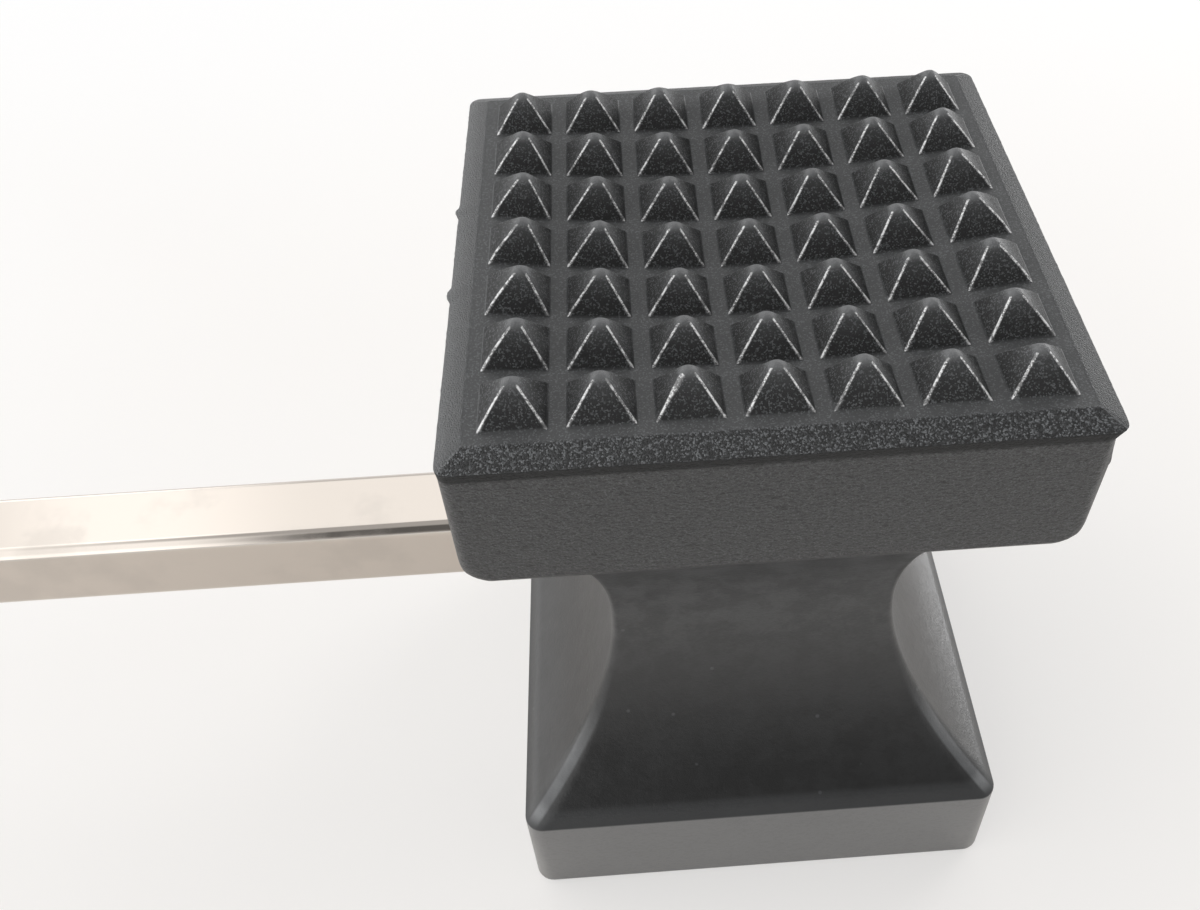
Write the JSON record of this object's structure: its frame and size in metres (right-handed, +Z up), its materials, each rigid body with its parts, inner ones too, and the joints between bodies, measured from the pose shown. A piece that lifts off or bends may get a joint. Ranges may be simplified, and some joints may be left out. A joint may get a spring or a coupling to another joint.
{
  "type": "meat mallet",
  "caption": "Meat mallet with a waisted square nylon head, pyramid teeth on one face and a smooth face opposite, on a straight square steel tube handle.",
  "frame": {"origin": "centre of the head's smooth face, on which the mallet stands", "axes": "+Z up from the smooth face to the toothed face; +X away from the handle, which runs towards -X; +Y to the rear of the head, where the pin goes in"},
  "size_m": [0.2377, 0.06, 0.0874],
  "materials": {
    "head_nylon": "spark-eroded grain on the toothed face and upper block, smoother on the waist and lower block",
    "tube_steel": "mirror-polished stainless steel",
    "pin_steel": "drawn wire",
    "plug_nylon": "moulded, satin"
  },
  "bodies": {
    "root": {"mallet_head": "head_nylon", "handle_tube": "tube_steel", "retaining_pin": "pin_steel", "handle_end_plug": "plug_nylon"}
  },
  "joints": []
}
